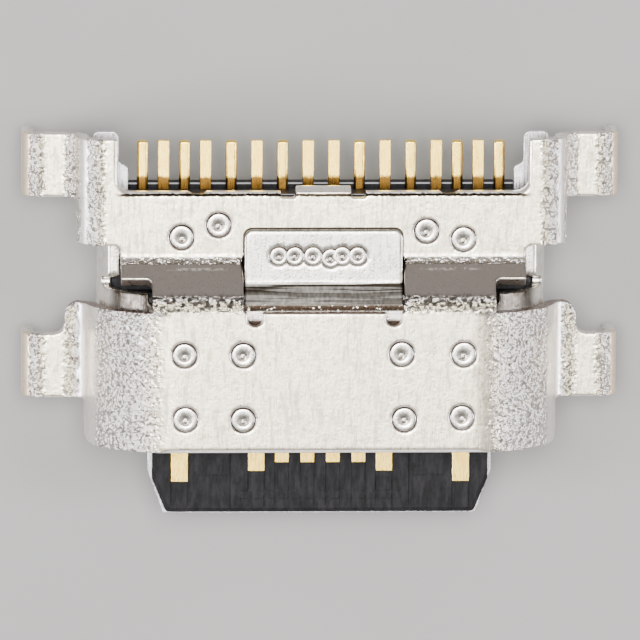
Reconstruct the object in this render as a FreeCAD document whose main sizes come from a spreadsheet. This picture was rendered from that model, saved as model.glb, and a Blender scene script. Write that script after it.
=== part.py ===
import FreeCAD, Part
import math
import os
from types import SimpleNamespace

# A mid-mount reversible socket: a stamped cover with four soldered ears, welded to a drawn
# inner shell, around a moulded tongue that carries sixteen contacts and a steel mid-plate.
# Millimetres. X runs across the mouth and Z upwards. Y is depth, measured from the back wall
# of the plug's cavity: the mouth is towards -Y and the solder tails are towards +Y.
# Z is measured from the tongue's middle. A value ending in _y or _z is a place, the rest are sizes.

size_table = {
    # plug cavity and inner shell
    "cavity_width": 8.34,
    "cavity_height": 2.56,
    "shell_wall": 0.20,
    "shell_front_y": -2.95,
    "shell_side_back_y": 0.10,
    "shell_top_back_y": -0.12,
    "shell_top_cut": 6.80,
    "trough_back_y": 1.90,
    "trough_rim_z": 0.77,
    "trough_relief_y": 0.30,
    "trough_relief_z": 0.45,
    "trough_corner": 0.12,
    "tab_width": 3.07,
    "tab_drop_y": -0.15,
    "tab_land_y": 0.24,
    "tab_end_y": 1.31,
    "tab_bend": 0.10,
    "tab_corner": 0.15,
    # stamped cover
    "cover_sheet": 0.25,
    "hood_front_y": -2.99,
    "hood_back_y": -0.25,
    "hood_rim_z": 0.0,
    "hood_corner": 0.60,
    "wrap_angle": 80.0,
    "board_z": -0.10,
    "ear_reach": 1.04,
    "leg_tip_z": -1.00,
    "leg_bend": 0.15,
    "front_ear_bend": 0.30,
    "front_ear_front_y": -2.15,
    "front_ear_back_y": -0.885,
    "flange_reach": 0.38,
    "flange_fillet": 0.20,
    "flange_corner": 0.30,
    "edge_corner": 0.12,
    "slope_top_y": -0.02,
    "slope_foot_y": 0.70,
    "slope_bend": 0.10,
    "slope_width": 7.86,
    "notch_span": 6.66,
    "notch_back_y": 0.38,
    "notch_corner": 0.12,
    "plate_corner": 0.14,
    "plate_top_z": 1.05,
    "plate_back_y": 2.03,
    "rear_wall_front_y": 0.97,
    "rear_wall_rim_z": 0.0,
    "rear_wall_gap": 0.16,
    "rear_wall_corner": 0.35,
    "rear_wall_bend": 0.28,
    "rear_ear_bend": 0.25,
    "rear_ear_front_y": 1.80,
    "rear_ear_back_y": 3.06,
    "rear_ear_gap": 8.0,
    "rear_fillet": 0.25,
    "window_front_y": -0.243,
    "window_play": 0.03,
    "window_back_play": 0.09,
    "lobe_width": 0.32,
    "lobe_depth": 0.26,
    "strip_stub_width": 1.08,
    "strip_stub_back_y": 2.13,
    "strip_notch_width": 0.29,
    "strip_notch_depth": 0.12,
    "scallop_spacing": 4.88,
    "scallop_width": 0.25,
    "scallop_depth": 0.05,
    # weld spots
    "weld_radius": 0.235,
    "tab_weld_radius": 0.20,
    "weld_depth": 0.03,
    "weld_outer_x": 2.71,
    "weld_inner_x": 1.55,
    "weld_front_y": -2.345,
    "weld_rear_y": -1.07,
    # tongue and mouldings
    "tongue_tip_y": -4.40,
    "tongue_height": 0.70,
    "tongue_width": 6.56,
    "tongue_tip_width": 6.02,
    "tongue_taper_y": -3.75,
    "tongue_chamfer": 0.08,
    "root_front_y": -1.10,
    "root_height": 1.16,
    "root_width": 6.40,
    "cavity_back_y": 0.0,
    "flange_back_y": 0.08,
    "core_back_y": 0.35,
    "block_gap": 0.02,
    "upper_block_back_y": 1.95,
    "lower_block_back_y": 1.85,
    "ledge_back_y": 2.05,
    "ledge_width": 7.60,
    "ledge_height": 0.45,
    "tab_recess_drop": 0.03,
    # mid-plate
    "mid_sheet": 0.15,
    "mid_reach": 0.06,
    "mid_taper_y": -3.60,
    "mid_width": 6.73,
    "latch_front_y": -2.75,
    "latch_back_y": -2.00,
    "latch_depth": 0.22,
    "latch_slant": 0.10,
    "mid_back_y": 0.90,
    "mid_shoulder_y": 0.12,
    "arm_play": 0.07,
    "arm_width": 0.35,
    "foot_width": 0.50,
    "foot_play": 0.08,
    "foot_reach": 0.02,
    "foot_flare": 0.19,
    "flow_window_width": 0.60,
    "flow_window_depth": 0.90,
    "flow_window_spacing": 1.95,
    "flow_window_y": -2.60,
    # shield plates round the tongue's root
    "shield_sheet": 0.10,
    "shield_width": 6.00,
    "shield_front_y": -1.05,
    "shield_bend": 0.08,
    "shield_top_z": 1.00,
    # contacts
    "pitch": 0.50,
    "contact_sheet": 0.15,
    "contact_proud": 0.015,
    "ground_width": 0.33,
    "power_width": 0.32,
    "signal_width": 0.27,
    "ground_tip_y": -3.79,
    "power_tip_y": -3.58,
    "signal_tip_y": -3.41,
    "tail_width": 0.22,
    "tail_clearance": 0.16,
    "outer_tail_pitch": 0.41,
    "tail_end_y": 2.90,
    "jog_start_y": 0.0,
    "jog_end_y": 1.0,
    "bend_start_y": 1.15,
    "bend_end_y": 1.45,
    "contact_bend": 0.10,
}

# The eight used places of each row, counted in pitches from the middle, with each contact's
# use. The last number is the place of its solder tail, counted in tails from the middle.
upper_row = [
    ("contact_a1_ground", "ground", -5.5, -6.5),
    ("contact_a4_power", "power", -2.5, -4.5),
    ("contact_a5_config", "signal", -1.5, -2.5),
    ("contact_a6_data_plus", "signal", -0.5, -0.5),
    ("contact_a7_data_minus", "signal", 0.5, 0.5),
    ("contact_a8_sideband", "signal", 1.5, 2.5),
    ("contact_a9_power", "power", 2.5, 4.5),
    ("contact_a12_ground", "ground", 5.5, 6.5),
]
lower_row = [
    ("contact_b12_ground", "ground", -5.5, -7.5),
    ("contact_b9_power", "power", -2.5, -5.5),
    ("contact_b8_sideband", "signal", -1.5, -3.5),
    ("contact_b7_data_minus", "signal", -0.5, -1.5),
    ("contact_b6_data_plus", "signal", 0.5, 1.5),
    ("contact_b5_config", "signal", 1.5, 3.5),
    ("contact_b4_power", "power", 2.5, 5.5),
    ("contact_b1_ground", "ground", 5.5, 7.5),
]

# Weld spots that follow no rule: on the rear plate, and the row on the shell's tab.
plate_welds = [(-2.75, 1.14), (-2.03, 1.38), (2.01, 1.26), (2.73, 1.10)]
tab_welds = [
    (-0.87, 0.80),
    (-0.56, 0.80),
    (-0.205, 0.80),
    (0.14, 0.757),
    (0.36, 0.80),
    (0.66, 0.80),
]

reach = 20.0  # longer than the whole part, for cuts that go right through
overshoot = 1.0  # how far other cuts run past the edge that they trim

vector = FreeCAD.Vector
doc = FreeCAD.newDocument("board_socket")


# The sheet of driving sizes

def make_sheet(table):
    sheet = doc.addObject("Spreadsheet::Sheet", "sizes")
    for row, (name, value) in enumerate(table.items(), 1):
        sheet.set(f"A{row}", name)
        sheet.set(f"B{row}", str(value))
        sheet.setAlias(f"B{row}", name)
    doc.recompute()
    return sheet


def read_sheet(sheet, table):
    return SimpleNamespace(**{name: float(sheet.get(name)) for name in table})


sheet = make_sheet(size_table)
mm = read_sheet(sheet, size_table)


# Values that follow from the driving sizes

inner_radius = mm.cavity_height / 2
shell_radius = inner_radius + mm.shell_wall
cover_radius = shell_radius + mm.cover_sheet
arc_x = mm.cavity_width / 2 - inner_radius
half_sheet = mm.cover_sheet / 2
hood_mid_z = cover_radius - half_sheet
plate_mid_z = mm.plate_top_z - half_sheet
ear_mid_z = mm.board_z + half_sheet
hood_side_x = arc_x + cover_radius
rear_side_x = arc_x + shell_radius + mm.rear_wall_gap + mm.cover_sheet
leg_mid_x = rear_side_x + mm.ear_reach - half_sheet
block_top_z = mm.plate_top_z - mm.cover_sheet - mm.block_gap
tail_mid_z = mm.board_z + mm.contact_sheet / 2
row_mid_z = mm.tongue_height / 2 + mm.contact_proud - mm.contact_sheet / 2
arm_out = arc_x + inner_radius - mm.arm_play
arm_in = arm_out - mm.arm_width

# The tails fill the room between the mid-plate's arms. The outer three on each side stand
# closer together than the five inside them.
close_tails = 3
last_tail = max(row[3] for row in upper_row + lower_row)
spread_tails = last_tail - close_tails
last_tail_x = arm_in - mm.tail_clearance - mm.tail_width / 2
inner_tail_pitch = (last_tail_x - close_tails * mm.outer_tail_pitch) / spread_tails


# Outlines

def unit(v):
    return v / v.Length


def corner_arc(point, before, after, radius):
    # the arc that rounds one corner, with the points where it starts and ends
    back = unit(before - point)
    ahead = unit(after - point)
    half = back.getAngle(ahead) / 2
    start = point + back * (radius / math.tan(half))
    end = point + ahead * (radius / math.tan(half))
    centre = point + unit(back + ahead) * (radius / math.sin(half))
    turns_left = back.cross(ahead).z < 0
    first, last = (start, end) if turns_left else (end, start)
    angles = [math.atan2((p - centre).y, (p - centre).x) for p in (first, last)]
    if angles[1] < angles[0]:
        angles[1] += 2 * math.pi
    circle = Part.Circle(centre, vector(0, 0, 1), radius)
    return start, Part.ArcOfCircle(circle, angles[0], angles[1]), end


def rounded_loop(corners):
    # a closed outline of lines and tangent arcs through corners (u, v) or (u, v, radius)
    points = [vector(c[0], c[1], 0) for c in corners]
    radii = [c[2] if len(c) > 2 else 0 for c in corners]
    count = len(points)
    stations = []
    arcs = []
    for i in range(count):
        if radii[i] > 0:
            start, arc, end = corner_arc(points[i], points[i - 1], points[(i + 1) % count], radii[i])
            stations.append((start, end))
            arcs.append(arc)
        else:
            stations.append((points[i], points[i]))
    edges = list(arcs)
    for i in range(count):
        leave = stations[i][1]
        arrive = stations[(i + 1) % count][0]
        if leave.distanceToPoint(arrive) > 1e-7:
            edges.append(Part.LineSegment(leave, arrive))
    return edges


def offset_corner(path, i, distance):
    # where the line beside a path turns, at a distance to its left
    point = vector(path[i][0], path[i][1], 0)
    normals = []
    for a, b in ((i - 1, i), (i, i + 1)):
        if a >= 0 and b < len(path):
            along = unit(vector(path[b][0] - path[a][0], path[b][1] - path[a][1], 0))
            normals.append(vector(-along.y, along.x, 0))
    if len(normals) == 1:
        return point + normals[0] * distance, 0
    first, second = normals
    turn = first.cross(second).z
    return point + (first + second) * (distance / (1 + first.dot(second))), turn


def bent_strip(path, thickness):
    # the closed section of a bent sheet: a path along its middle, each bend with its inner radius
    half = thickness / 2
    sides = []
    for side in (1, -1):
        row = []
        for i, place in enumerate(path):
            corner, turn = offset_corner(path, i, side * half)
            inner = place[2] if len(place) > 2 else 0
            inside = turn * side > 0
            radius = 0 if not inner else inner if inside else inner + thickness
            row.append((corner.x, corner.y, radius))
        sides.append(row)
    return rounded_loop(sides[0] + sides[1][::-1])


def both_sides(half_path):
    # a path from the middle outwards, with its mirror image before it
    return [(-p[0], *p[1:]) for p in half_path[::-1]] + list(half_path)


def mirrored(corners):
    return [(-c[0], *c[1:]) for c in corners[::-1]]


def side_arc(side, radius, start, end):
    # an arc round the middle of one of the cavity's two round ends
    circle = Part.Circle(vector(side * arc_x, 0, 0), vector(0, 0, 1), radius)
    return Part.ArcOfCircle(circle, start, end)


def racetrack(radius):
    # the flat oval of the plug's cavity, grown to a radius
    left = side_arc(-1, radius, math.pi / 2, 1.5 * math.pi)
    right = side_arc(1, radius, -math.pi / 2, math.pi / 2)
    top = Part.LineSegment(vector(-arc_x, radius, 0), vector(arc_x, radius, 0))
    bottom = Part.LineSegment(vector(-arc_x, -radius, 0), vector(arc_x, -radius, 0))
    return [left, right, top, bottom]


def racetrack_slice(radius, low_z, high_z):
    # the part of that oval between two heights
    low = math.asin(low_z / radius)
    high = math.asin(high_z / radius)
    edges = [side_arc(-1, radius, math.pi - high, math.pi - low), side_arc(1, radius, low, high)]
    for angle in (low, high):
        x = arc_x + radius * math.cos(angle)
        z = radius * math.sin(angle)
        edges.append(Part.LineSegment(vector(-x, z, 0), vector(x, z, 0)))
    return edges


def rectangle(left, low, right, high, radius=0):
    corners = [(left, low), (right, low), (right, high), (left, high)]
    return rounded_loop([(*corner, radius) for corner in corners])


# Sketches and features

def new_body(name):
    body = doc.addObject("PartDesign::Body", name)
    body.Label = name
    return body


def origin_plane(body, role):
    return next(f for f in body.Origin.OriginFeatures if f.Role == role)


def sketch_on(body, role, name, loops, level=None):
    # a sketch on one of the body's own planes, raised along the plane's normal by an expression
    sketch = body.newObject("Sketcher::SketchObject", name)
    sketch.AttachmentSupport = [(origin_plane(body, role), "")]
    sketch.MapMode = "FlatFace"
    if level:
        sketch.setExpression("AttachmentOffset.Base.z", level)
    for loop in loops:
        sketch.addGeometry(loop, False)
    return sketch


def extruded(body, kind, name, sketch, length, midplane=False, reverse=False):
    feature = body.newObject(kind, name)
    feature.Profile = sketch
    feature.Midplane = midplane
    feature.Reversed = reverse
    if isinstance(length, str):
        feature.setExpression("Length", length)
    else:
        feature.Length = length
    sketch.Visibility = False
    doc.recompute()
    return feature


def pad(body, name, sketch, length, **how):
    before = body.Shape.Volume if body.Tip else 0
    feature = extruded(body, "PartDesign::Pad", name, sketch, length, **how)
    if feature.Shape.Volume <= before:
        raise RuntimeError(f"{name} adds nothing")
    return feature


def pocket(body, name, sketch, length, **how):
    before = body.Shape.Volume
    feature = extruded(body, "PartDesign::Pocket", name, sketch, length, **how)
    if feature.Shape.Volume >= before:
        raise RuntimeError(f"{name} cuts nothing")
    return feature


def section_between(body, name, loops, front, back):
    # material of one XZ section between two depths, named in the sheet
    sketch = sketch_on(body, "XZ_Plane", name + "_section", loops, f"-sizes.{back}")
    return pad(body, name, sketch, f"sizes.{back} - sizes.{front}")


def plan_cut(body, name, loops):
    # a cut through everything, drawn in plan
    return pocket(body, name, sketch_on(body, "XY_Plane", name + "_plan", loops), reach, midplane=True)


# Stamped cover

def wrapped_corner():
    # where the hood's top line meets the slanted line that its sides end in
    angle = math.radians(mm.wrap_angle)
    corner_x = arc_x + hood_mid_z * math.tan(angle / 2)
    foot_x = corner_x + (hood_mid_z - ear_mid_z) / math.tan(angle)
    return corner_x, foot_x


def hood_rim_path():
    side_x = arc_x + hood_mid_z
    return both_sides([(side_x, hood_mid_z, shell_radius), (side_x, mm.hood_rim_z)])


def front_ear_path():
    corner_x, foot_x = wrapped_corner()
    return both_sides([
        (corner_x, hood_mid_z, shell_radius),
        (foot_x, ear_mid_z, mm.front_ear_bend),
        (leg_mid_x, ear_mid_z, mm.leg_bend),
        (leg_mid_x, mm.leg_tip_z),
    ])


def slope_path():
    return [
        (mm.hood_back_y, hood_mid_z),
        (mm.slope_top_y, hood_mid_z, mm.slope_bend),
        (mm.slope_foot_y, plate_mid_z, mm.slope_bend),
        (mm.plate_back_y, plate_mid_z),
    ]


def rear_wall_path(with_ears):
    wall_x = rear_side_x - half_sheet
    corner = (wall_x, plate_mid_z, mm.rear_wall_bend)
    if not with_ears:
        return both_sides([corner, (wall_x, mm.rear_wall_rim_z)])
    return both_sides([
        corner,
        (wall_x, ear_mid_z, mm.rear_ear_bend),
        (leg_mid_x, ear_mid_z, mm.leg_bend),
        (leg_mid_x, mm.leg_tip_z),
    ])


def hood_corner_cuts(body):
    # the rounded lower front corners of the hood's two sides, cut in side view
    front = mm.hood_front_y
    rim = mm.hood_rim_z
    corner = rounded_loop([
        (front - overshoot, rim - overshoot),
        (front - overshoot, rim + mm.hood_corner),
        (front, rim + mm.hood_corner),
        (front, rim, mm.hood_corner),
        (front + mm.hood_corner, rim),
        (front + mm.hood_corner, rim - overshoot),
    ])
    sketch = sketch_on(body, "YZ_Plane", "hood_corner_side", [corner])
    pocket(body, "hood_corners", sketch, reach, midplane=True)


def front_ear_cuts(body):
    # behind each front ear the sheet narrows to a flange, with a fillet where they meet
    inner = hood_side_x + mm.flange_reach
    past = mm.hood_back_y + overshoot
    corner = [
        (inner, past),
        (inner, mm.front_ear_back_y, mm.flange_fillet),
        (reach, mm.front_ear_back_y),
        (reach, past),
    ]
    plan_cut(body, "front_ear_cuts", [rounded_loop(corner), rounded_loop(mirrored(corner))])
    # the flange's own rear corner is round
    radius = mm.flange_corner
    rounding = [
        (inner - radius, mm.hood_back_y),
        (inner, mm.hood_back_y, radius),
        (inner, mm.hood_back_y - radius),
        (inner + overshoot, mm.hood_back_y - radius),
        (inner + overshoot, past),
        (inner - radius, past),
    ]
    plan_cut(body, "flange_corners", [rounded_loop(side(rounding)) for side in (list, mirrored)])


def side_notches(body):
    # relief notches between the hood's wrapped sides and the slope, and behind them the rounded
    # corners where the slope widens into the rear plate
    inner = mm.notch_span / 2
    outer = mm.slope_width / 2
    past = outer + overshoot
    notch = [
        (inner, mm.hood_back_y),
        (inner, mm.notch_back_y, mm.notch_corner),
        (past, mm.notch_back_y),
        (past, mm.hood_back_y),
    ]
    corner = [
        (outer, mm.rear_wall_front_y - mm.plate_corner),
        (outer, mm.rear_wall_front_y, mm.plate_corner),
        (past, mm.rear_wall_front_y),
        (past, mm.rear_wall_front_y - mm.plate_corner),
    ]
    plan_cut(body, "side_notches", [rounded_loop(side(notch)) for side in (list, mirrored)])
    plan_cut(body, "plate_corners", [rounded_loop(side(corner)) for side in (list, mirrored)])


def rear_wall_corners(body):
    # the rear walls' lower front corners, cut in side view
    front = mm.rear_wall_front_y
    rim = mm.rear_wall_rim_z
    radius = mm.rear_wall_corner
    corner = rounded_loop([
        (front - mm.plate_corner, rim - overshoot),
        (front - mm.plate_corner, rim + radius),
        (front, rim + radius),
        (front, rim, radius),
        (front + radius, rim),
        (front + radius, rim - overshoot),
    ])
    sketch = sketch_on(body, "YZ_Plane", "rear_wall_corner_side", [corner])
    pocket(body, "rear_wall_corners", sketch, reach, midplane=True)


def slope_shoulders(body):
    # the slope's two top corners follow the round of the hood beside them
    far = hood_side_x
    top = cover_radius + overshoot
    corner = [
        (arc_x, cover_radius),
        (far, cover_radius, cover_radius),
        (far, 0),
        (far + overshoot, 0),
        (far + overshoot, top),
        (arc_x, top),
    ]
    loops = [rounded_loop(side(corner)) for side in (list, mirrored)]
    sketch = sketch_on(body, "XZ_Plane", "slope_shoulder_section", loops, "-sizes.notch_back_y")
    pocket(body, "slope_shoulders", sketch, "sizes.notch_back_y - sizes.hood_back_y", reverse=True)


def rear_edge_cuts(body):
    # the bay between the rear ears, for the tails
    inner = mm.rear_ear_gap / 2
    back = mm.plate_back_y
    plan_cut(body, "rear_bay", [rounded_loop([
        (-inner, back, mm.rear_fillet),
        (inner, back, mm.rear_fillet),
        (inner, mm.rear_ear_back_y + overshoot),
        (-inner, mm.rear_ear_back_y + overshoot),
    ])])
    # the stub of the carrier strip, and two small scallops
    stub = mm.strip_stub_width / 2
    loops = []
    for side in (-1, 1):
        xs = sorted((side * stub, side * (stub + mm.strip_notch_width)))
        loops.append(rectangle(xs[0], back - mm.strip_notch_depth, xs[1], back + overshoot))
        middle = side * mm.scallop_spacing / 2
        half = mm.scallop_width / 2
        loops.append(rectangle(middle - half, back - mm.scallop_depth, middle + half, back + overshoot))
    plan_cut(body, "rear_edge_notches", loops)
    top = mm.plate_top_z
    tip = rectangle(-stub, top - mm.cover_sheet, stub, top)
    section_between(body, "strip_stub", [tip], "plate_back_y", "strip_stub_back_y")


def tab_window(body):
    # the window that the shell's tab comes up through, with round relief lobes in front
    half = mm.tab_width / 2 + mm.window_play
    front = mm.window_front_y
    back = mm.slope_foot_y + mm.window_back_play
    lobe = mm.lobe_width / 2
    plan_cut(body, "tab_window", [rectangle(-half, front, half, back, mm.edge_corner)])
    loops = []
    for side in (-1, 1):
        middle = side * (half - mm.edge_corner / 2 - lobe)
        loops.append(rectangle(
            middle - lobe, front - mm.lobe_depth, middle + lobe, front + mm.lobe_width, lobe))
    plan_cut(body, "window_lobes", loops)


def make_cover():
    body = new_body("cover_sheet_metal")
    ears, rim, slope, wall, rear_ears = [bent_strip(path, mm.cover_sheet) for path in (
        front_ear_path(), hood_rim_path(), slope_path(), rear_wall_path(False), rear_wall_path(True))]
    section_between(body, "front_ears", [ears], "front_ear_front_y", "hood_back_y")
    front_ear_cuts(body)
    section_between(body, "hood_rim", [rim], "hood_front_y", "front_ear_front_y")
    hood_corner_cuts(body)
    sketch = sketch_on(body, "YZ_Plane", "slope_section", [slope])
    pad(body, "slope", sketch, "sizes.slope_width", midplane=True)
    slope_shoulders(body)
    sketch = sketch_on(body, "XZ_Plane", "rear_wall_section", [wall], "-sizes.rear_ear_front_y")
    pad(body, "rear_wall", sketch, "sizes.rear_ear_front_y - sizes.rear_wall_front_y + sizes.plate_corner")
    side_notches(body)
    rear_wall_corners(body)
    section_between(body, "rear_ears", [rear_ears], "rear_ear_front_y", "rear_ear_back_y")
    rear_edge_cuts(body)
    tab_window(body)
    spots = [(side * x, y) for side in (-1, 1) for x in (mm.weld_outer_x, mm.weld_inner_x)
             for y in (mm.weld_front_y, mm.weld_rear_y)]
    pits = weld_pits(spots, "weld_radius", cover_radius)
    pits += weld_pits(plate_welds, "weld_radius", mm.plate_top_z)
    return cut_from(body, pits, "outer_cover")


def weld_pits(spots, radius, top_z):
    # shallow round pits left by spot welds, as cylinders sunk in a face
    pits = []
    for x, y in spots:
        pit = doc.addObject("Part::Cylinder", "weld_pit")
        pit.setExpression("Radius", f"sizes.{radius}")
        pit.setExpression("Height", "sizes.weld_depth * 2")
        pit.Placement.Base = vector(x, y, top_z - mm.weld_depth)
        pits.append(pit)
    return pits


def cut_from(base, tools, name):
    group = doc.addObject("Part::MultiFuse", name + "_tools")
    group.Shapes = tools
    result = doc.addObject("Part::Cut", name)
    result.Base = base
    result.Tool = group
    return result


# Drawn inner shell

def make_shell():
    body = new_body("shell_sheet_metal")
    tube = [racetrack(shell_radius), racetrack(inner_radius)]
    section_between(body, "tube", tube, "shell_front_y", "trough_back_y")
    # behind the cavity only a trough is left
    above = shell_radius + overshoot
    behind = mm.trough_back_y + overshoot
    side_view = rounded_loop([
        (mm.shell_side_back_y, above),
        (mm.shell_side_back_y, mm.trough_relief_z, mm.trough_corner),
        (mm.trough_relief_y, mm.trough_relief_z, mm.trough_corner / 2),
        (mm.trough_relief_y, mm.trough_rim_z, mm.trough_corner),
        (behind, mm.trough_rim_z),
        (behind, above),
    ])
    pocket(body, "trough", sketch_on(body, "YZ_Plane", "trough_side", [side_view]), reach, midplane=True)
    # the top wall ends short of the cover's slope, apart from the tab
    half = mm.shell_top_cut / 2
    outline = rectangle(-half, mm.shell_top_back_y, half, mm.trough_relief_y)
    top = sketch_on(body, "XY_Plane", "top_plan", [outline])
    pocket(body, "top_cut", top, reach, reverse=True)
    middle = shell_radius - mm.shell_wall / 2
    landed = mm.plate_top_z + mm.shell_wall / 2
    path = [
        (mm.window_front_y, middle),
        (mm.tab_drop_y, middle, mm.tab_bend),
        (mm.tab_land_y, landed, mm.tab_bend),
        (mm.tab_end_y, landed),
    ]
    tab = sketch_on(body, "YZ_Plane", "tab_section", [bent_strip(path, mm.shell_wall)])
    pad(body, "tab", tab, "sizes.tab_width", midplane=True)
    end = mm.tab_end_y
    half_tab = mm.tab_width / 2
    corners = []
    for side in (list, mirrored):
        corners.append(rounded_loop(side([
            (half_tab - mm.tab_corner, end),
            (half_tab, end, mm.tab_corner),
            (half_tab, end - mm.tab_corner),
            (half_tab + overshoot, end - mm.tab_corner),
            (half_tab + overshoot, end + overshoot),
            (half_tab - mm.tab_corner, end + overshoot),
        ])))
    sketch = sketch_on(body, "XY_Plane", "tab_corner_plan", corners)
    pocket(body, "tab_corners", sketch, reach, reverse=True)
    pits = weld_pits(tab_welds, "tab_weld_radius", mm.plate_top_z + mm.shell_wall)
    return cut_from(body, pits, "inner_shell")


# Mid-plate

def make_mid_plate():
    tip = mm.tongue_tip_y - mm.mid_reach
    half = mm.mid_width / 2
    tip_half = mm.tongue_tip_width / 2 + mm.mid_reach
    notch = half - mm.latch_depth
    foot_out = rear_side_x - mm.cover_sheet - mm.foot_play
    foot_in = foot_out - mm.foot_width
    bend_y = mm.trough_back_y + mm.foot_play
    side = [
        (tip_half, tip, mm.edge_corner / 2),
        (half, mm.mid_taper_y),
        (half, mm.latch_front_y),
        (notch, mm.latch_front_y + mm.latch_slant),
        (notch, mm.latch_back_y - mm.latch_slant),
        (half, mm.latch_back_y),
        (half, mm.mid_shoulder_y),
        (arm_out, mm.mid_shoulder_y),
        (arm_out, bend_y),
        (foot_out, bend_y + mm.latch_slant),
        (foot_out, mm.rear_ear_back_y + mm.foot_reach, mm.edge_corner),
        (foot_in, mm.rear_ear_back_y + mm.foot_reach, mm.edge_corner),
        (foot_in, bend_y + mm.foot_width, mm.edge_corner),
        (foot_in - mm.foot_flare, bend_y + mm.foot_width - mm.latch_slant, mm.edge_corner / 2),
        (foot_in - mm.foot_flare, bend_y + mm.latch_slant),
        (arm_in, bend_y),
        (arm_in, mm.mid_back_y),
    ]
    body = new_body("mid_plate")
    # the moulding runs through these windows, which joins its upper and lower halves
    windows = []
    for place in (-1, 0, 1):
        x = place * mm.flow_window_spacing
        wide = mm.flow_window_width / 2
        deep = mm.flow_window_depth / 2
        y = mm.flow_window_y
        windows.append(rectangle(x - wide, y - deep, x + wide, y + deep))
    sketch = sketch_on(body, "XY_Plane", "plan", [rounded_loop(side + mirrored(side)), *windows])
    pad(body, "plate", sketch, "sizes.mid_sheet", midplane=True)
    return body


# Shield plates round the tongue's root

def make_shield_plate(name, side):
    half = mm.shield_sheet / 2
    root = mm.root_height / 2 + half
    path = [
        (mm.shield_front_y, side * root),
        (-half, side * root, mm.shield_bend),
        (-half, side * mm.shield_top_z),
    ]
    body = new_body(name)
    sketch = sketch_on(body, "YZ_Plane", "section", [bent_strip(path, mm.shield_sheet)])
    pad(body, "plate", sketch, "sizes.shield_width", midplane=True)
    return body


# Contacts: each is blanked in plan, then bent in side view, so it is what the two have in common

side_view = FreeCAD.Rotation(vector(1, 1, 1), 120)  # turns a sketch's x and y to the part's Y and Z


def extrusion(name, edges, rotation, length):
    sketch = doc.addObject("Sketcher::SketchObject", name + "_sketch")
    sketch.addGeometry(edges, False)
    sketch.Placement = FreeCAD.Placement(vector(0, 0, 0), rotation)
    solid = doc.addObject("Part::Extrusion", name)
    solid.Base = sketch
    solid.DirMode = "Normal"
    solid.setExpression("LengthFwd", length)
    solid.Symmetric = True
    solid.Solid = True
    return solid


def tail_place(count):
    steps = abs(count)
    inside = min(steps, spread_tails)
    return math.copysign(inside * inner_tail_pitch + (steps - inside) * mm.outer_tail_pitch, count)


def make_contact(name, use, places, tail_count, side):
    tip = getattr(mm, use + "_tip_y")
    half = getattr(mm, use + "_width") / 2
    tail = mm.tail_width / 2
    x = places * mm.pitch
    tail_x = tail_place(tail_count)
    plan = rounded_loop([
        (x - half, tip),
        (x + half, tip),
        (x + half, mm.jog_start_y),
        (tail_x + tail, mm.jog_end_y),
        (tail_x + tail, mm.tail_end_y),
        (tail_x - tail, mm.tail_end_y),
        (tail_x - tail, mm.jog_end_y),
        (x - half, mm.jog_start_y),
    ])
    path = [
        (tip - overshoot, side * row_mid_z),
        (mm.bend_start_y, side * row_mid_z, mm.contact_bend),
        (mm.bend_end_y, tail_mid_z, mm.contact_bend),
        (mm.tail_end_y + overshoot, tail_mid_z),
    ]
    blank = extrusion(name + "_blank", plan, FreeCAD.Rotation(), "sizes.cavity_height")
    bent = bent_strip(path, mm.contact_sheet)
    strip = extrusion(name + "_strip", bent, side_view, "sizes.cavity_width")
    contact = doc.addObject("Part::MultiCommon", name)
    contact.Shapes = [blank, strip]
    return contact


# Mouldings, before the inserts are taken out of them

def tip_edges(shape):
    # the two long edges of the tongue's tip
    edges = []
    for number, edge in enumerate(shape.Edges, 1):
        ends = [v.Point for v in edge.Vertexes]
        if all(p.y < mm.tongue_tip_y + 1e-6 and abs(p.z) > mm.tongue_height / 2 - 1e-6 for p in ends):
            edges.append(f"Edge{number}")
    return edges


def make_tongue():
    body = new_body("tongue_raw")
    section_between(body, "back_wall", [racetrack(inner_radius)], "cavity_back_y", "flange_back_y")
    core = racetrack_slice(inner_radius, -inner_radius, block_top_z)
    section_between(body, "core", [core], "flange_back_y", "core_back_y")
    wide = mm.root_width / 2
    high = mm.root_height / 2
    root = rectangle(-wide, -high, wide, high, mm.edge_corner)
    section_between(body, "root", [root], "root_front_y", "flange_back_y")
    recess = mm.tab_width / 2 + mm.window_play
    floor = mm.plate_top_z - mm.tab_recess_drop
    sketch = sketch_on(body, "XZ_Plane", "tab_recess_section",
                       [rectangle(-recess, floor, recess, inner_radius + overshoot)], "-sizes.core_back_y")
    pocket(body, "tab_recess", sketch, "sizes.core_back_y - sizes.cavity_back_y", reverse=True)
    half = mm.tongue_width / 2
    side = [
        (mm.tongue_tip_width / 2, mm.tongue_tip_y, mm.edge_corner),
        (half, mm.tongue_taper_y),
        (half, mm.flange_back_y),
    ]
    plan = sketch_on(body, "XY_Plane", "tongue_plan", [rounded_loop(side + mirrored(side))])
    tongue = pad(body, "tongue", plan, "sizes.tongue_height", midplane=True)
    chamfer = body.newObject("PartDesign::Chamfer", "tip_chamfer")
    chamfer.Base = (tongue, tip_edges(tongue.Shape))
    chamfer.setExpression("Size", "sizes.tongue_chamfer")
    doc.recompute()
    return body


def make_upper_block():
    body = new_body("upper_block_raw")
    block = racetrack_slice(inner_radius, 0, block_top_z)
    section_between(body, "block", [block], "core_back_y", "upper_block_back_y")
    return body


def make_lower_block():
    body = new_body("lower_block_raw")
    block = racetrack_slice(inner_radius, -inner_radius, 0)
    section_between(body, "block", [block], "core_back_y", "lower_block_back_y")
    half = mm.ledge_width / 2
    ledge = rectangle(-half, mm.board_z - mm.ledge_height, half, mm.board_z)
    section_between(body, "ledge", [ledge], "lower_block_back_y", "ledge_back_y")
    return body


# The whole part

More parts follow.
